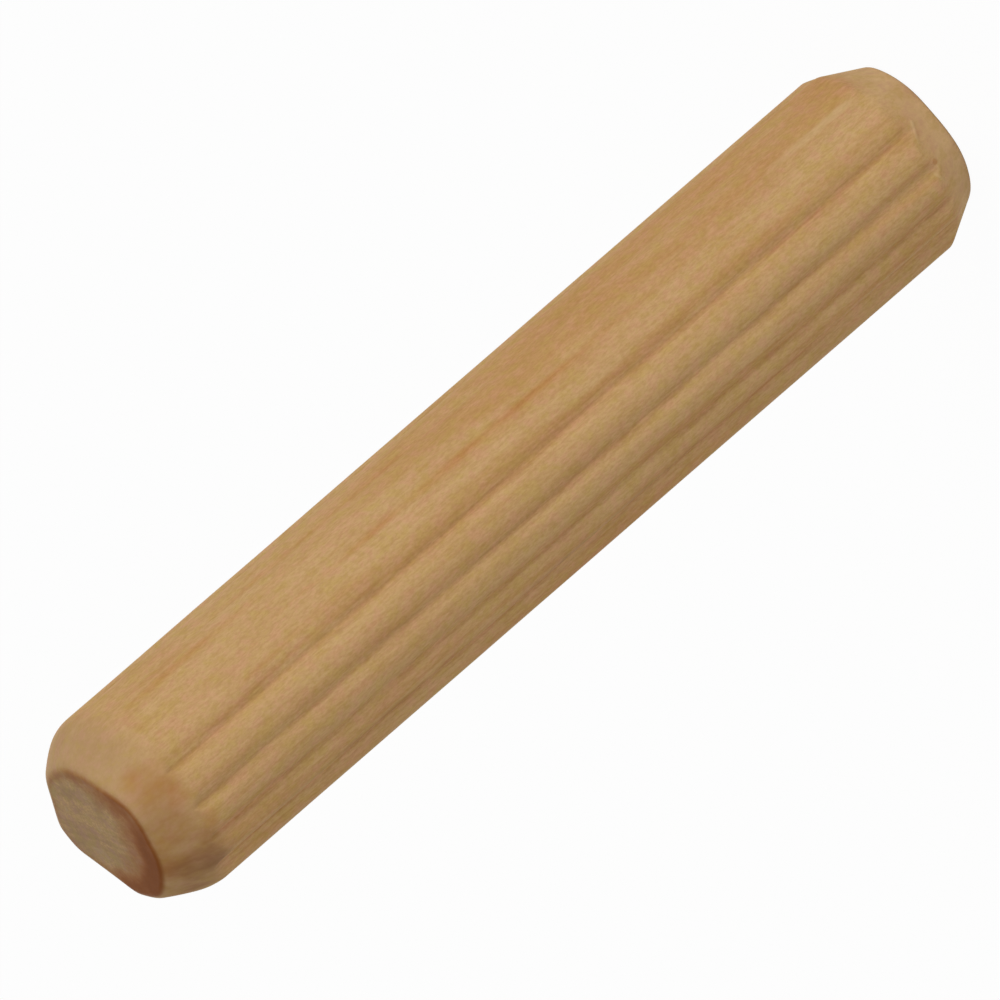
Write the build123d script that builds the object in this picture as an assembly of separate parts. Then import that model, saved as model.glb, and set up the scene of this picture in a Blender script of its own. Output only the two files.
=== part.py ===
from build123d import *
from math import hypot, radians, tan
import os

# A fluted wooden dowel pin that glues into two 8 mm holes.
# It stands on its foot end, with +Z along the pin and the origin at the middle of the foot face.
# Sizes are in millimetres and degrees.

# barrel
length = 40.0
crest_diameter = 7.76

# flutes, V grooves pressed in along the barrel, with lands of the round stick left between them
flute_count = 14
flute_depth = 0.2
flute_angle = 110.0
flute_shoulder_radius = 0.25
first_flute_at = -87.1

# foot end, cut true to the axis
foot_cone_depth = 0.96
foot_cone_length = 1.84
foot_rim_radius = 0.25
foot_shoulder_radius = 0.3

# head end, cut a little off centre and blunted, on a face that was sawn out of square
head_cone_depth = 0.93
head_cone_length = 1.44
head_rim_radius = 0.25
head_shoulder_radius = 1.6
head_offset_x = 0.11
head_offset_y = -0.04
saw_angle_x = 0.7
saw_angle_y = -2.9

# angle at which a cone's cut runs out onto the barrel
run_out_angle = 8.0

# how far the cutting shapes reach past the pin
spare = 1.0

crest_radius = crest_diameter / 2
root_radius = crest_radius - flute_depth


def fluted_section():
    """The barrel's section: a circle with V grooves all round, each groove's shoulders rounded."""
    reach = flute_depth + spare
    half_width = reach * tan(radians(flute_angle / 2))
    groove = make_face(
        Polyline((0, 0), (reach, half_width), (reach, -half_width), close=True).edges()
    )
    grooves = PolarLocations(root_radius, flute_count, first_flute_at) * groove
    section = Rot(0, 0, first_flute_at) * Circle(crest_radius) - grooves
    shoulders = [v for v in section.vertices() if hypot(v.X, v.Y) > crest_radius - flute_depth / 2]
    return fillet(shoulders, flute_shoulder_radius)


def end_cutter_room(cone_depth, cone_length, shoulder_radius):
    """The room that an end cutter leaves, with the end face at Z = 0 and the pin above it."""
    face_radius = crest_radius - cone_depth
    slope = cone_depth / cone_length
    run_out = tan(radians(run_out_angle))
    beyond = length + spare
    profile = make_face(
        Polyline(
            (0, 0, -spare),
            (face_radius - slope * spare, 0, -spare),
            (crest_radius, 0, cone_length),
            (crest_radius + run_out * (beyond - cone_length), 0, beyond),
            (0, 0, beyond),
            close=True,
        ).edges()
    )
    shoulder = profile.vertices().sort_by_distance((crest_radius, 0, cone_length))[0]
    return revolve(fillet(shoulder, shoulder_radius), Axis.Z)


def rim_of(end_face):
    """The outer edge of an end face."""
    return end_face.outer_wire().edges()


barrel = extrude(fluted_section(), amount=length + spare)

foot_room = end_cutter_room(foot_cone_depth, foot_cone_length, foot_shoulder_radius)
head_room = end_cutter_room(head_cone_depth, head_cone_length, head_shoulder_radius)
head_room = Pos(head_offset_x, head_offset_y, length) * Rot(180, 0, 0) * head_room
saw_cut = Plane(Pos(0, 0, length) * Rot(saw_angle_x, saw_angle_y, 0))

dowel_pin = barrel & foot_room & head_room
dowel_pin = split(dowel_pin, bisect_by=saw_cut, keep=Keep.BOTTOM)
dowel_pin = fillet(rim_of(dowel_pin.faces().sort_by(Axis.Z)[0]), foot_rim_radius)
dowel_pin = fillet(rim_of(dowel_pin.faces().sort_by(Axis.Z)[-1]), head_rim_radius)

os.makedirs("parts", exist_ok=True)
export_step(dowel_pin, "parts/dowel_pin.step")
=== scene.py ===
import bpy
from math import atan2, cos, hypot, pi, radians, sin, sqrt
from mathutils import Matrix, Vector, noise


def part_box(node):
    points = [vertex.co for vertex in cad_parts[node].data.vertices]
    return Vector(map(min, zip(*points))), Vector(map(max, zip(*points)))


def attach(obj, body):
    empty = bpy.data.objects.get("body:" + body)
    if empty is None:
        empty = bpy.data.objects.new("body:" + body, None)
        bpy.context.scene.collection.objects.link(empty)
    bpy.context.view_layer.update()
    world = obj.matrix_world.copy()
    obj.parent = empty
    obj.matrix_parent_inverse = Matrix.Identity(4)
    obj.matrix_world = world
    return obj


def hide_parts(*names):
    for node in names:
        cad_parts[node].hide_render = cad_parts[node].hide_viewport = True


# A fluted beech dowel pin, standing on its foot end on a pale floor.
# Sizes are in millimetres and degrees unless a name says otherwise, and MM turns them to metres.

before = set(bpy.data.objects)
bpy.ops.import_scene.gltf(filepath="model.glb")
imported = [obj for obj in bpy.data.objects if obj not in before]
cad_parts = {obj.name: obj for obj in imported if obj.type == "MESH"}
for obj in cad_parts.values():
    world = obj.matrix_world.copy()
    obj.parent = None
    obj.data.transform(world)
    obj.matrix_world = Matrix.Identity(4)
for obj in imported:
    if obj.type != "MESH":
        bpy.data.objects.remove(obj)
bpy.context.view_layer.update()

MM = 0.001

# the turned stick
foot_low, head_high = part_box("dowel_pin")
half_width = (head_high.x - foot_low.x) / 2 / MM
crest_radius = half_width + 0.017      # no crest lies quite at the widest place
length = 40.0

# Values in a row belong to even steps round the pin, from +X by way of +Y.

# the foot end was turned by a cutter
foot_cut_depth = (0.98, 0.95, 0.94, 0.93, 0.95, 0.97, 0.98, 0.95, 0.90, 0.98, 0.85, 0.88)
foot_cut_length = (1.86, 1.84, 1.86, 1.82)
foot_cut_bluntness = (1.0,)
foot_rim_round = (0.08, 0.20, 0.24, 0.22)

# the head end was blunted more on one side than the other
head_cut_depth = (1.05, 1.11, 1.12, 1.23, 1.34, 1.16, 0.97, 1.06, 1.04, 0.76, 1.05, 0.94)
head_cut_length = (2.01, 2.20, 2.16, 2.20)
head_cut_bluntness = (1.87, 1.40, 1.26, 1.05)
head_rim_round = (0.20, 0.26, 0.24, 0.20)

# two flats were rubbed on the far side of the head: which way each faces, and how far it is from the axis
head_flats = ((38.4, 2.56), (116.2, 2.32))
flat_slope = 0.6
flat_blend = 0.15
flat_reach = 0.3     # it ends where the surface turns this far away, as a cosine

# the head's face was sawn a little out of square
saw_rise_x, saw_rise_y = 0.0311, 0.0445

# how softly the cut ends meet the barrel
shoulder_blend = 0.08

# the flutes, pressed in by a toothed wheel, so the stick is left as a ring of crowned lobes.
# The wheel ran unevenly: each flute's depth, how far its middle strays from its even place, and how far
# it drifts round from the foot to the head.
flute_count = 14
first_flute_at = -87.1
flute_depth = (0.24, 0.13, 0.10, 0.22, 0.23, 0.26, 0.22, 0.25, 0.24, 0.23, 0.24, 0.31, 0.22, 0.23)
flute_stray = (-0.5, 1.2, 4.0, 1.5, 0.0, -0.8, 0.6, 1.2, 0.2, -0.5, 0.0, 9.9, 5.3, 1.1)
flute_drift = (0.0, 0.0, 0.5, -0.8, 0.6, 0.9, -0.5, 0.4, -0.7, 0.8, 0.5, -4.5, 0.3, 0.0)
flute_root_round = 0.09

# each flute's depth wavers by a share of itself, and its place by some degrees. Both are waves along the
# pin, to a millimetre, and each flute takes its own part of the noise
depth_waver, depth_waves, depth_apart = 0.14, 0.13, 5.3
place_waver, place_waves, place_apart = 0.25, 0.09, 7.1

# the flutes fade out near the head: how far below its face they start and are whole
flute_fade = (1.0, 2.0)

# a flute this deep starts to look pressed and to take painted shade in its groove, and one as deep as the
# second looks fully so
pressed_look = (0.08, 0.26)

# where a flute runs out into an end's cut, its look fades over this much depth
run_out_look = (-0.02, 0.05)

# how far from its face each end looks fully turned, and where that look ends
foot_turned = (0.7, 2.0)
head_turned = (0.9, 2.6)

# how far up the side a face looks sawn
sawn_edge = 0.11

# how far below the head its skew starts to fade, and where it is gone
skew_fade = (1.0, 6.0)

# fine relief: bumps to a millimetre round the pin and along it, their height, and how much of them shows
fibre_bumps, fibre_relief, fibre_cover = (2.6, 0.22), 0.010, 0.3
dent_bumps, dent_relief, dent_cover = (0.9, 0.9), 0.006, 0.2

# marks left by handling: angle, height, half width, half height and strength
rubbed_marks = (
    (-76.0, 39.2, 0.80, 0.65, 0.8), (-100.0, 38.5, 0.65, 0.55, 1.0), (-121.0, 37.95, 0.55, 0.45, 0.9),
    (-82.0, 38.8, 2.10, 1.00, 0.5), (-54.0, 37.6, 0.70, 0.50, 0.4), (-36.0, 35.0, 0.30, 3.80, 0.5),
    (68.0, 38.3, 0.80, 0.60, 0.5), (158.0, 38.4, 0.60, 0.50, 0.6), (-15.0, 38.2, 0.50, 0.40, 0.4),
    (-109.5, 1.44, 0.17, 0.15, 1.7), (35.0, 1.7, 0.50, 0.30, 0.6), (128.0, 1.6, 0.40, 0.30, 0.6),
)
# dark bruises at the head, and painted shade along a flute: angle, height, half width, half height and
# strength
bruises_and_shade = (
    (-148.0, 38.65, 1.50, 1.50, 0.9), (-163.0, 38.9, 1.70, 1.20, 0.7), (-134.0, 38.9, 1.30, 1.30, 0.45),
    (96.0, 38.7, 1.10, 0.60, 0.3),
    # two long ones are painted shade along the side of a flute
    (-150.8, 30.0, 0.50, 9.00, 0.66), (-149.2, 17.0, 0.45, 10.00, 0.58),
)
# where the cutter burnished the head brown
burnished_marks = (
    (-136.0, 39.3, 2.60, 1.60, 1.0), (-108.0, 39.1, 2.40, 1.50, 0.75), (-165.0, 39.3, 2.20, 1.20, 0.6),
)

# darker streaks in the wood, which follow the fibres. The last two are painted shade along the side of a
# flute
streaks_and_shade = (
    (-61.0, 21.0, 0.26, 12.00, 0.75), (-44.0, 33.5, 0.30, 6.00, 0.7), (-32.0, 28.0, 0.24, 9.00, 0.5),
    (-70.0, 10.0, 0.12, 4.50, 0.5), (-52.0, 9.0, 0.16, 5.00, 0.5), (-99.0, 27.0, 0.10, 5.00, 0.5),
    (23.0, 15.0, 0.22, 8.00, 0.7), (61.0, 27.0, 0.18, 7.00, 0.7), (104.0, 12.0, 0.20, 6.00, 0.6),
    (149.0, 24.0, 0.22, 9.00, 0.7), (190.0, 18.0, 0.16, 7.00, 0.6),
    (-148.5, 12.0, 0.22, 11.00, 1.0), (-148.5, 28.0, 0.22, 9.00, 1.0),
)

marks = {"rubbed": rubbed_marks, "bruised_and_shaded": bruises_and_shade, "burnished": burnished_marks, "streaked_and_shaded": streaks_and_shade}

# what is noted at each point of the pin for its material to read: how it was made, its marks, and where shade
# is painted
noted = ("pressed", "turned", "sawn", "scorched", "flaked", *marks)

# flakes that the cutter lifted at the foot: two ends as angle and height, and half width
flakes = (
    (-84.3, 1.14, -95.5, 1.56, 0.09), (-114.7, 1.71, -124.0, 1.44, 0.08), (74.0, 1.5, 66.0, 1.2, 0.08),
    (-53.0, 2.5, -52.5, 6.1, 0.20),
)
# a flake's edge fades between these shares of its half width, and it grows fainter towards its second end.
# It stands up only where the foot's cut is at least this deep
flake_edge = (0.2, 1.3)
flake_faints = 0.6
flake_height = 0.03
flake_cut_depth = 0.05

# how far in from its edge the head's face is scorched, and how strongly, at every 30 degrees
scorch_width = (0.25, 0.20, 0.20, 0.25, 0.50, 1.40, 2.00, 2.15, 2.10, 1.95, 1.45, 0.70)
scorch_strength = (0.45, 0.34, 0.25, 0.32, 0.50, 0.90, 1.03, 1.03, 0.94, 0.82, 0.66, 0.56)
# its width varies by a share of itself, with so many waves to a millimetre, and most of it is fade
scorch_raggedness, scorch_waves = 0.35, 1.5
scorch_fade = 0.8

# the plain stick that the shape is worked from. It is divided into columns, which crowd near the flutes'
# roots, into rings on its faces, which crowd at the head's scorched edge, and into rows up its side
blank_face = 2.9
columns_per_flute = 30
column_crowding = 0.5
foot_rings = 9
head_rings, head_ring_crowding = 18, 1.4
foot_rim_top, foot_rim_rows = 0.24, 5
head_rim_height, head_rim_rows = 0.3, 8
# each band of rows: its top, and how many rows it has
side_bands = ((1.0, 10), (2.0, 24), (36.9, 92), (39.0, 34), (length - head_rim_height, 8))

# a slack for rounding, in millimetres or in flutes
hair = 1e-4

# the sockets of the node that mixes two colours
mix_share, mix_first, mix_second, mixed = 0, 6, 7, 2


def hex_colour(code):
    """An sRGB hex colour as linear RGBA."""
    parts = [int(code[i:i + 2], 16) / 255 for i in (1, 3, 5)]
    return [p / 12.92 if p <= 0.04045 else ((p + 0.055) / 1.055) ** 2.4 for p in parts] + [1.0]


def add(tree, kind, settings=None, links=None):
    """Adds one node to a tree, with its settings and its incoming links."""
    node = tree.nodes.new(kind)
    for name, value in (settings or {}).items():
        if isinstance(name, str) and hasattr(node, name):
            setattr(node, name, value)
        else:
            node.inputs[name].default_value = value
    for name, source in (links or {}).items():
        tree.links.new(source, node.inputs[name])
    return node


def smooth(x, start, end):
    """0 before start, 1 after end, and an even curve between."""
    t = min(max((x - start) / (end - start), 0.0), 1.0)
    return t * t * (3 - 2 * t)


def round_about(values, angle):
    """A value at an angle, between those given at even steps round the pin."""
    place = angle / 360 * len(values)
    before = int(place // 1)
    share = smooth(place - before, 0.0, 1.0)
    return values[before % len(values)] * (1 - share) + values[(before + 1) % len(values)] * share


def turned_blank():
    """The stick before it is fluted: half its outline, spun about the axis."""
    def run(start, end, steps):
        """Even steps up to an end, without the start."""
        return [start + (end - start) * k / steps for k in range(1, steps + 1)]

    def rim(height, rows):
        """Rows that crowd towards a face, as a rounded rim needs them."""
        return [height * (1 - cos(pi / 2 * k / rows)) for k in range(rows + 1)]

    outline = [(0.0, 0.0)] + [(r, 0.0) for r in run(0.0, blank_face, foot_rings)]
    heights = rim(foot_rim_top, foot_rim_rows)[1:]
    bottom = foot_rim_top
    for top, rows in side_bands:
        heights += run(bottom, top, rows)
        bottom = top
    heights += [length - z for z in reversed(rim(head_rim_height, head_rim_rows)[:-1])]
    outline += [(blank_face, z) for z in heights]
    inwards = [1 - (k / head_rings) ** head_ring_crowding for k in range(1, head_rings + 1)]
    outline += [(blank_face * share, length) for share in inwards]
    turn = radians(first_flute_at)
    mesh = bpy.data.meshes.new("outline")
    mesh.from_pydata([Vector((r * cos(turn), r * sin(turn), z)) * MM for r, z in outline],
                     [(k, k + 1) for k in range(len(outline) - 1)], [])
    pin = bpy.data.objects.new("outline", mesh)
    bpy.context.scene.collection.objects.link(pin)
    bpy.ops.object.select_all(action="DESELECT")
    bpy.context.view_layer.objects.active = pin
    pin.select_set(True)
    bpy.ops.object.mode_set(mode="EDIT")
    bpy.ops.mesh.select_all(action="SELECT")
    bpy.ops.mesh.spin(steps=flute_count * columns_per_flute, angle=2 * pi, center=(0, 0, 0), axis=(0, 0, 1))
    bpy.ops.mesh.select_all(action="SELECT")
    bpy.ops.mesh.remove_doubles(threshold=1e-7)
    bpy.ops.mesh.normals_make_consistent(inside=False)
    bpy.ops.object.mode_set(mode="OBJECT")
    return pin


def rim_rounding(distance, rounding):
    """How far a rounded rim falls back, at a distance from the face."""
    if distance >= rounding:
        return 0.0
    return rounding * (1 - sqrt(max(0.0, 1 - (1 - distance / rounding) ** 2)))


def end_radius(angle, distance, depth, reach, bluntness):
    """The radius that an end's cut leaves at an angle and a distance from the face."""
    part = max(0.0, 1 - distance / round_about(reach, angle))
    return crest_radius - round_about(depth, angle) * part ** round_about(bluntness, angle)


def foot_radius(angle, above):
    """The radius that the foot's cut and its rounded rim leave, at a height above the face."""
    cut = end_radius(angle, above, foot_cut_depth, foot_cut_length, foot_cut_bluntness)
    return cut - rim_rounding(above, round_about(foot_rim_round, angle))


def head_radius(angle, below):
    """The radius that the head's cut, its flats and its rounded rim leave, at a depth below the face."""
    cut = end_radius(angle, below, head_cut_depth, head_cut_length, head_cut_bluntness)
    for faces, apart in head_flats:
        lean = cos(radians(angle - faces))
        if lean > flat_reach:
            flat = (apart + flat_slope * below) / lean
            blend = max(flat_blend - abs(cut - flat), 0.0) / flat_blend
            cut = min(cut, flat) - blend ** 2 * flat_blend / 4
    return cut - rim_rounding(below, round_about(head_rim_round, angle))


def flute_angle(number, height):
    """Where a flute's root lies at a height."""
    which = number % flute_count
    wander = place_waver * noise.noise(Vector((height * place_waves, which * place_apart, 4.0)))
    wander += flute_drift[which] * (height / length - 0.5)
    return first_flute_at + number * 360 / flute_count + flute_stray[which] + wander


def lobe(number, across, height):
    """A point on the lobe that follows a flute: its angle, its radius, and how pressed it looks, which also
    sets the shade painted into its groove. Across runs from 0 at one flute's root to 1 at the next one's."""
    across -= column_crowding * sin(2 * pi * across) / (2 * pi)
    start, end = flute_angle(number, height), flute_angle(number + 1, height)
    nearer = (number + round(across)) % flute_count
    gap = 1 - abs(2 * across - 1)
    near = 1 + flute_root_round * (1 - gap) - hypot(gap, flute_root_round)
    press = 1 + depth_waver * noise.noise(Vector((nearer * depth_apart, height * depth_waves, 1.0)))
    drop = flute_depth[nearer] * press * smooth(length - height, *flute_fade)
    angle = start + (end - start) * across
    return angle, crest_radius - drop * near ** 2, near * smooth(drop, *pressed_look)


def apart_round(angle, other):
    """How far apart two angles are along the pin's surface."""
    return ((angle - other + 180) % 360 - 180) * pi / 180 * crest_radius


def oval_mark(places, angle, height):
    """How strongly the oval marks at some places show at a point."""
    shown = 0.0
    for at, middle, half_wide, half_tall, strength in places:
        off = (apart_round(angle, at) / half_wide) ** 2 + ((height - middle) / half_tall) ** 2
        shown = max(shown, min(1.0, strength * max(0.0, 1 - off)))
    return shown


def flake_mark(angle, height):
    """How strongly a lifted flake shows at a point."""
    shown = 0.0
    for start, low, end, high, half_wide in flakes:
        along_x, along_y = apart_round(end, start), high - low
        to_x, to_y = apart_round(angle, start), height - low
        share = min(max((to_x * along_x + to_y * along_y) / (along_x ** 2 + along_y ** 2), 0.0), 1.0)
        off = hypot(to_x - share * along_x, to_y - share * along_y)
        edge = smooth(off, flake_edge[0] * half_wide, flake_edge[1] * half_wide)
        shown = max(shown, (1 - edge) * (1 - flake_faints * share))
    return shown


def shape_pin(pin):
    """Moves the blank's points out to the turned, fluted and sawn surface, and notes what made each and where
    shade is painted into the flutes.
    """
    notes = {name: [] for name in noted}
    for point in pin.data.vertices:
        x, y, z = point.co / MM
        blank_radius = hypot(x, y)
        turn = (atan2(y, x) * 180 / pi - first_flute_at) % 360 * flute_count / 360
        number = int(turn + hair)
        angle, barrel, root = lobe(number % flute_count, turn - number, z)
        below = length - z
        at_head = z > length / 2
        cut_end = head_radius(angle, below) if at_head else foot_radius(angle, z)
        turned = 1 - (smooth(below, *head_turned) if at_head else smooth(z, *foot_turned))
        flake = flake_mark(angle, z)
        scorched = round_about(scorch_strength, angle) if at_head else 0.0
        outwards = Vector((cos(radians(angle)), sin(radians(angle)), 0.0))
        if min(z, below) < hair and blank_radius < blank_face - hair:
            radius, root, sawn = blank_radius / blank_face * cut_end, 0.0, 1.0
            ragged = 1 + scorch_raggedness * noise.noise(outwards * radius * scorch_waves)
            width = round_about(scorch_width, angle) * ragged
            scorched *= min(max((width - cut_end + radius) / (scorch_fade * width), 0.0), 1.0)
        else:
            blend = max(shoulder_blend - abs(barrel - cut_end), 0.0) / shoulder_blend
            radius = min(barrel, cut_end) - blend ** 2 * shoulder_blend / 4
            root *= smooth(cut_end - barrel, *run_out_look)
            sawn = 1 - smooth(min(z, below), 0.0, sawn_edge)
            place = outwards * crest_radius
            fibre = noise.noise(place * fibre_bumps[0] + Vector((0, 0, z * fibre_bumps[1])))
            dent = noise.noise(place * dent_bumps[0] + Vector((0, 0, z * dent_bumps[1])))
            rough = fibre_relief * max(0.0, fibre + fibre_cover) * (1 - turned)
            rough += dent_relief * max(0.0, dent + dent_cover) * turned * (1 - sawn)
            radius -= rough
            if barrel - cut_end > flake_cut_depth:
                radius += flake_height * flake
        x, y = radius * cos(radians(angle)), radius * sin(radians(angle))
        if at_head:
            z += (saw_rise_x * x + saw_rise_y * y) * (1 - smooth(below, *skew_fade))
        point.co = Vector((x, y, z)) * MM
        made = {"pressed": root, "turned": turned, "sawn": sawn, "scorched": scorched, "flaked": flake}
        for name, value in made.items():
            notes[name].append(value)
        for name, places in marks.items():
            notes[name].append(oval_mark(places, angle, length - below))
    for name, values in notes.items():
        pin.data.attributes.new(name, "FLOAT", "POINT").data.foreach_set("value", values)


def tinted(tree, values, base, tints, blend="MIX"):
    """Lays tints over a base colour, one after another. Each shows where its value lies between two bounds,
    up to a top share."""
    for name, low, high, top, tint in tints:
        bounds = {"interpolation_type": "SMOOTHSTEP", "From Min": low, "From Max": high, "To Max": top}
        share = add(tree, "ShaderNodeMapRange", bounds, {"Value": values[name]})
        settings = {"data_type": "RGBA", "blend_type": blend, mix_second: hex_colour(tint)}
        links = {mix_share: share.outputs[0], mix_first: base}
        base = add(tree, "ShaderNodeMix", settings, links).outputs[mixed]
    return base


def pressed_and_turned_beech():
    """Steamed beech. The barrel was planed round and its flutes pressed in by a wheel, which leaves long matt
    fibres and closed grooves, painted darker partly for the pressed wood and partly as painted shade. The
    ends were turned, which leaves them smoother and greyer; the foot's cut is also painted paler, as painted
    light. The sawn face shows end grain, scorched brown where the saw rubbed."""
    finish = bpy.data.materials.new("beech_turned_and_pressed")
    finish.use_nodes = True
    tree = finish.node_tree
    tree.nodes.clear()
    place = add(tree, "ShaderNodeTexCoord").outputs["Object"]
    to_mm = {"Scale": (1 / MM, 1 / MM, 1 / MM)}
    in_mm = add(tree, "ShaderNodeMapping", to_mm, {"Vector": place}).outputs["Vector"]

    # each pattern: features to a millimetre along X, Y and Z, its turn about the pin's length in degrees,
    # its detail and its roughness
    patterns = {
        # fibres are finer than the picture shows, so they are drawn 0.15 mm wide and 2 mm long
        "fibres": ((6.5, 6.5, 0.45), 0, 4.0, 0.6),
        # vessels are cut open as short dashes, drawn 0.08 mm wide and 0.25 mm long
        "vessels": ((12.0, 12.0, 4.0), 0, 3.0, 0.7),
        # rays are thin sheets across the growth layers, 0.2 mm thick, 1.5 mm tall and 3 mm deep
        "rays": ((5.0, 0.35, 0.7), 35, 2.0, 0.6),
        # steaming leaves patches 1 mm wide and 3 mm long, and pink and yellow mottles 0.5 mm wide
        "patches": ((0.9, 0.9, 0.35), 0, 3.0, 0.65),
        "mottles": ((1.9, 1.9, 1.6), 20, 4.0, 0.68),
        # pores show on end grain as dots, drawn 0.1 mm wide
        "pores": ((10.0, 10.0, 10.0), 0, 3.0, 0.7),
        # the tree didn't grow quite round
        "wander": ((0.3, 0.3, 0.06), 0, 2.0, 0.5),
    }
    values = {}
    for name, (scale, turn, detail, roughness) in patterns.items():
        stretch = {"Scale": scale, "Rotation": (0, 0, radians(turn))}
        spot = add(tree, "ShaderNodeMapping", stretch, {"Vector": in_mm}).outputs["Vector"]
        look = {"Scale": 1.0, "Detail": detail, "Roughness": roughness}
        values[name] = add(tree, "ShaderNodeTexNoise", look, {"Vector": spot}).outputs["Fac"]
    for name in noted:
        values[name] = add(tree, "ShaderNodeAttribute", {"attribute_name": name}).outputs["Fac"]

    # growth layers are about 1.2 mm thick, half pale and half dark, and curve round the tree's middle,
    # which lay 30 mm away
    from_middle = {"Location": (25.0, -17.0, 0.0), "Scale": (1, 1, 0)}
    bent = add(tree, "ShaderNodeMapping", from_middle, {"Vector": in_mm})
    out = add(tree, "ShaderNodeVectorMath", {"operation": "LENGTH"}, {0: bent.outputs["Vector"]})
    out = add(tree, "ShaderNodeMath", {"operation": "ADD"}, {0: out.outputs["Value"], 1: values["wander"]})
    high = add(tree, "ShaderNodeSeparateXYZ", None, {"Vector": in_mm}).outputs["Z"]
    grown = add(tree, "ShaderNodeCombineXYZ", None, {"X": out.outputs[0], "Z": high})
    grown = add(tree, "ShaderNodeMapping", {"Scale": (1.6, 1.0, 0.04)}, {"Vector": grown.outputs["Vector"]})
    values["layers"] = add(tree, "ShaderNodeTexNoise", {"Scale": 1.0, "Detail": 3.0, "Roughness": 0.6},
                           {"Vector": grown.outputs["Vector"]}).outputs["Fac"]

    # fibres, layers and vessels together make the grain
    grain = add(tree, "ShaderNodeMath", {"operation": "MULTIPLY", 1: 0.9}, {0: values["vessels"]})
    for name in ("fibres", "layers"):
        grain = add(tree, "ShaderNodeMath", {"operation": "MULTIPLY_ADD", 1: 0.55},
                    {0: values[name], 2: grain.outputs[0]})
    values["grain"] = grain.outputs[0]

    # handling marks and the painted shade on a flute's side are ragged, and the pressed darkening of the
    # grooves, partly painted shade, falls on only some fibres
    ragged = add(tree, "ShaderNodeMapRange",
                 {"From Min": 0.3, "From Max": 0.65, "To Min": 0.35, "To Max": 1.0},
                 {"Value": values["patches"]})
    for name in ("rubbed", "bruised_and_shaded", "burnished", "streaked_and_shaded"):
        values[name] = add(tree, "ShaderNodeMath", {"operation": "MULTIPLY"},
                           {0: values[name], 1: ragged.outputs[0]}).outputs[0]
    some = add(tree, "ShaderNodeMapRange", {"From Min": 0.2, "From Max": 0.6}, {"Value": values["fibres"]})
    values["pressed_fibres"] = add(tree, "ShaderNodeMath", {"operation": "MULTIPLY"},
                                   {0: values["pressed"], 1: some.outputs[0]}).outputs[0]
    frayed = add(tree, "ShaderNodeMath", {"operation": "MULTIPLY_ADD", 1: 0.6, 2: -0.3},
                 {0: values["patches"]})
    values["frayed_scorch"] = add(tree, "ShaderNodeMath", {"operation": "ADD"},
                                  {0: values["scorched"], 1: frayed.outputs[0]}).outputs[0]

    share = add(tree, "ShaderNodeMapRange", {"From Min": 0.4, "From Max": 0.75}, {"Value": values["patches"]})
    woods = {"data_type": "RGBA", mix_first: hex_colour("#C8A574"), mix_second: hex_colour("#C5A06F")}
    barrel = add(tree, "ShaderNodeMix", woods, {mix_share: share.outputs[0]}).outputs[mixed]
    barrel = tinted(tree, values, barrel, (
        ("layers", 0.45, 0.68, 0.35, "#C0884C"),
        ("mottles", 0.50, 0.64, 0.40, "#C2A75D"),
        ("mottles", 0.50, 0.36, 0.40, "#CE9A7C"),
        ("rays", 0.55, 0.75, 0.20, "#B88448"),
        # the streak tint also lays painted shade along the side of a flute
        ("streaked_and_shaded", 0.00, 1.00, 0.60, "#B87C3E"),
        # pressing closes and darkens the wood in the flutes, and these two tints are also painted shade in
        # the grooves
        ("pressed_fibres", 0.45, 1.00, 0.17, "#8C4E2C"),
        ("pressed", 0.80, 1.00, 0.12, "#A8481A"),
    ))
    barrel = tinted(tree, values, barrel, (
        ("grain", 0.55, 1.45, 0.62, "#D9CAB7"),
        ("vessels", 0.42, 0.62, 0.13, "#DDCDB8"),
        ("mottles", 0.40, 0.62, 0.35, "#F5F1EB"),
        ("patches", 0.35, 0.65, 0.20, "#F3EEE7"),
    ), "MULTIPLY")

    # turning cut across the fibres, which leaves the ends smoother and greyer, and the head is the darker.
    # The foot's wood is painted paler still: painted light on its cut, which faces the floor
    share = add(tree, "ShaderNodeMapRange", {"From Min": 0.3, "From Max": 0.7}, {"Value": values["patches"]})
    woods = {"data_type": "RGBA", mix_first: hex_colour("#D6B58A"), mix_second: hex_colour("#C09E72")}
    foot = add(tree, "ShaderNodeMix", woods, {mix_share: share.outputs[0]}).outputs[mixed]
    woods = {"data_type": "RGBA", mix_first: hex_colour("#AF8F67"), mix_second: hex_colour("#A38159")}
    head = add(tree, "ShaderNodeMix", woods, {mix_share: share.outputs[0]}).outputs[mixed]
    at_head = add(tree, "ShaderNodeMapRange", {"From Min": length / 2 - 1, "From Max": length / 2 + 1},
                  {"Value": high})
    ends = add(tree, "ShaderNodeMix", {"data_type": "RGBA"},
               {mix_share: at_head.outputs[0], mix_first: foot, mix_second: head}).outputs[mixed]
    ends = tinted(tree, values, ends, (
        ("mottles", 0.50, 0.64, 0.35, "#AE9050"),
        ("mottles", 0.50, 0.36, 0.35, "#B38A72"),
    ))
    share = add(tree, "ShaderNodeMath", {"operation": "MULTIPLY", 1: 0.7}, {0: values["turned"]})
    side = add(tree, "ShaderNodeMix", {"data_type": "RGBA"},
               {mix_share: share.outputs[0], mix_first: barrel, mix_second: ends}).outputs[mixed]
    side = tinted(tree, values, side, (
        ("burnished", 0.00, 1.00, 0.75, "#98632B"),
        ("rubbed", 0.00, 1.00, 0.65, "#A87138"),
        # the bruise tint also lays painted shade along the side of a flute
        ("bruised_and_shaded", 0.00, 1.00, 0.65, "#7D5A42"),
        ("flaked", 0.00, 1.00, 0.30, "#D2B88C"),
    ))

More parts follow.
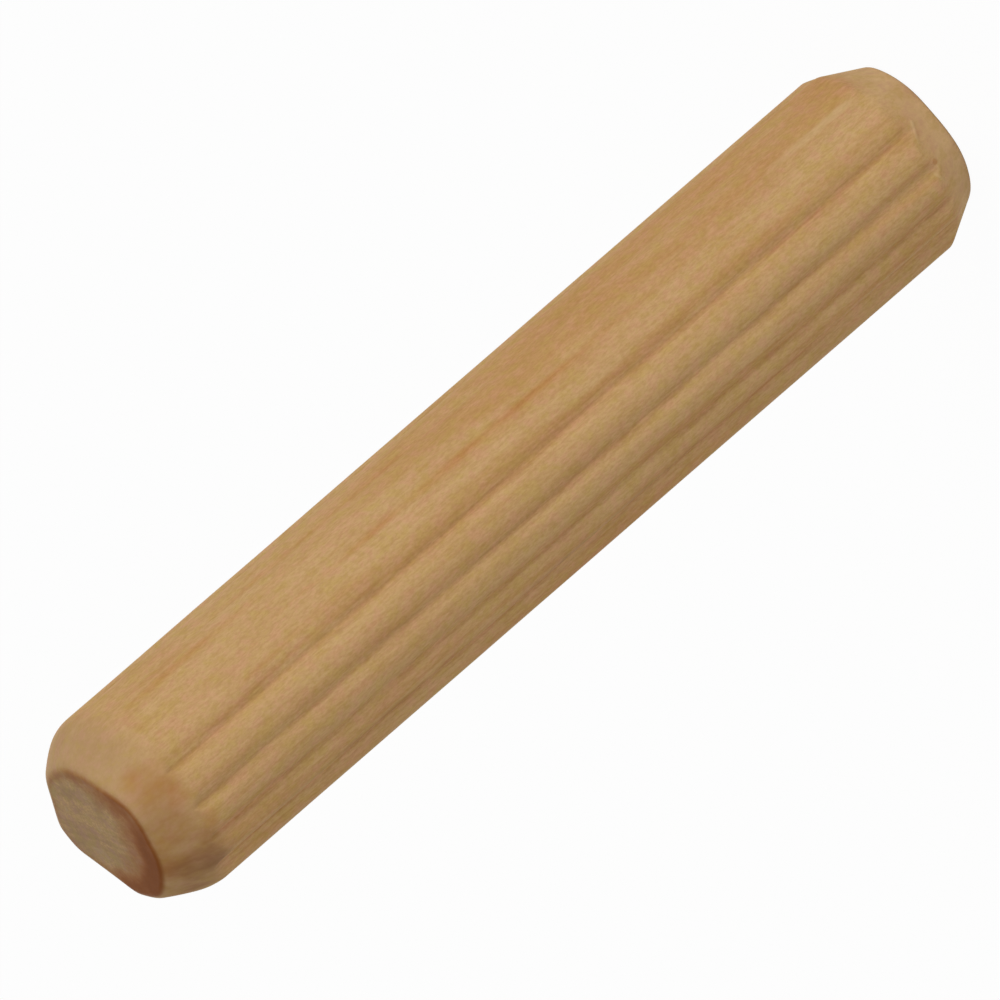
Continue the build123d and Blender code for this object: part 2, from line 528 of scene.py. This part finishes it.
    # the sawn faces show end grain with open pores, the growth layers and the rays. The head's is scorched
    # round its edge, light brown where it frays and darkest low down
    share = add(tree, "ShaderNodeMapRange", {"From Min": 0.3, "From Max": 0.7}, {"Value": values["pores"]})
    woods = {"data_type": "RGBA", mix_first: hex_colour("#C8A36F"), mix_second: hex_colour("#A3835C")}
    face = add(tree, "ShaderNodeMix", woods, {mix_share: share.outputs[0]}).outputs[mixed]
    face = tinted(tree, values, face, (
        ("layers", 0.40, 0.65, 0.50, "#8E7350"),
        ("rays", 0.50, 0.70, 0.15, "#B0946B"),
        ("patches", 0.46, 0.64, 0.55, "#97795A"),
        ("patches", 0.46, 0.30, 0.55, "#B39A78"),
        ("mottles", 0.50, 0.64, 0.60, "#A68C58"),
        ("mottles", 0.50, 0.36, 0.60, "#A9836C"),
        ("frayed_scorch", 0.00, 0.95, 0.90, "#935524"),
        ("frayed_scorch", 0.60, 1.10, 0.95, "#7A4212"),
    ))
    whole = add(tree, "ShaderNodeMix", {"data_type": "RGBA"},
                {mix_share: values["sawn"], mix_first: side, mix_second: face}).outputs[mixed]

    # planing leaves the fibres as ridges, about 0.02 mm high
    relief = add(tree, "ShaderNodeBump", {"Strength": 0.3, "Distance": 0.02 * MM},
                 {"Height": values["fibres"]})
    gloss = {"Roughness": 0.75, "IOR": 1.5, "Specular IOR Level": 0.1}
    shader = add(tree, "ShaderNodeBsdfPrincipled", gloss,
                 {"Base Color": whole, "Normal": relief.outputs["Normal"]})
    add(tree, "ShaderNodeOutputMaterial", None, {"Surface": shader.outputs["BSDF"]})
    return finish


pin = turned_blank()
shape_pin(pin)
bpy.ops.object.shade_smooth()
pin.name = pin.data.name = "fluted_dowel"
pin.data.materials.append(pressed_and_turned_beech())
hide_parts("dowel_pin")
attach(pin, "root")


def seen_as_backdrop(tree, shade):
    """The share by which a surface is shown plain white instead of lit, which leaves a share of shade."""
    path = add(tree, "ShaderNodeLightPath")
    seen = path.outputs["Is Camera Ray"]
    for also in ("Is Glossy Ray", "Is Transmission Ray"):
        either = {0: seen, 1: path.outputs[also]}
        seen = add(tree, "ShaderNodeMath", {"operation": "MAXIMUM"}, either).outputs[0]
    return add(tree, "ShaderNodeMath", {"operation": "MULTIPLY", 1: 1 - shade}, {0: seen}).outputs[0]


world = bpy.data.worlds.new("soft_room")
bpy.context.scene.world = world
world.use_nodes = True
tree = world.node_tree
tree.nodes.clear()
room = add(tree, "ShaderNodeBackground", {"Color": (1, 1, 1, 1), "Strength": 0.38})
white = add(tree, "ShaderNodeBackground", {"Color": (1, 1, 1, 1), "Strength": 1.0})
both = add(tree, "ShaderNodeMixShader", None,
           {0: seen_as_backdrop(tree, 0.0), 1: room.outputs[0], 2: white.outputs[0]})
add(tree, "ShaderNodeOutputWorld", None, {"Surface": both.outputs[0]})

# the floor is white, and keeps only this share of its own shade, with the pin's faint shadow in it
floor_shade = 0.035
bpy.ops.mesh.primitive_plane_add(size=6.0, location=(0, 0, 0))
floor = bpy.context.active_object
floor.name = "floor"
paint = bpy.data.materials.new("matt_white_floor")
paint.use_nodes = True
tree = paint.node_tree
tree.nodes.clear()
matt = add(tree, "ShaderNodeBsdfDiffuse", {"Color": hex_colour("#E6E6E4")})
white = add(tree, "ShaderNodeEmission", {"Color": (1, 1, 1, 1), "Strength": 1.0})
both = add(tree, "ShaderNodeMixShader", None,
           {0: seen_as_backdrop(tree, floor_shade), 1: matt.outputs[0], 2: white.outputs[0]})
add(tree, "ShaderNodeOutputMaterial", None, {"Surface": both.outputs[0]})
floor.data.materials.append(paint)

pin_middle = Vector((0, 0, 20.012 * MM))


def soft_lamp(name, way, distance, wide, tall, level):
    """A soft lamp, wide and tall in metres. Its level is how bright a white surface that faces it gets."""
    light = bpy.data.lights.new(name, "AREA")
    light.shape = "RECTANGLE"
    light.size, light.size_y = wide, tall
    light.energy = level * (pi * distance) ** 2
    lamp = bpy.data.objects.new(name, light)
    bpy.context.scene.collection.objects.link(lamp)
    way = Vector(way).normalized()
    facing = way.to_track_quat("Z", "Y").to_matrix().to_4x4()
    lamp.matrix_world = Matrix.Translation(pin_middle + way * distance) @ facing


soft_lamp("key_lamp", (0.766, -0.643, 0.115), 1.0, 0.7, 0.22, 0.49)
soft_lamp("second_lamp", (-0.643, -0.766, 0.115), 1.0, 0.6, 0.22, 0.23)
soft_lamp("back_lamp", (0.15, 1.0, 0.15), 1.0, 0.7, 0.28, 0.35)
soft_lamp("top_lamp", (0.6, -0.3, 1.0), 1.0, 0.5, 0.5, 0.14)

# the camera looks down on the standing pin from the front and is rolled, so the pin lies across the picture
look_down = radians(21.1269)
roll = radians(40.9048)
frame_width = 34.85 * MM
lens, sensor = 1200.0, 36.0
level_right = Vector((1, 0, 0))
level_up = Vector((0, sin(look_down), cos(look_down)))
towards = Vector((0, -cos(look_down), sin(look_down)))
right = -sin(roll) * level_right - cos(roll) * level_up
up = cos(roll) * level_right - sin(roll) * level_up
view = bpy.data.cameras.new("photo_camera")
view.lens = lens
view.sensor_width = sensor
view.clip_start = 0.05
view.clip_end = 20.0
camera = bpy.data.objects.new("photo_camera", view)
bpy.context.scene.collection.objects.link(camera)
# the pin's middle lies a little above and to the right of the picture's
aim = pin_middle - 0.357 * MM * right - 0.595 * MM * up
stand = aim + towards * (lens / sensor * frame_width)
camera.matrix_world = Matrix.Translation(stand) @ Matrix((right, up, towards)).transposed().to_4x4()
bpy.context.scene.camera = camera

bpy.context.scene.view_settings.view_transform = "Standard"
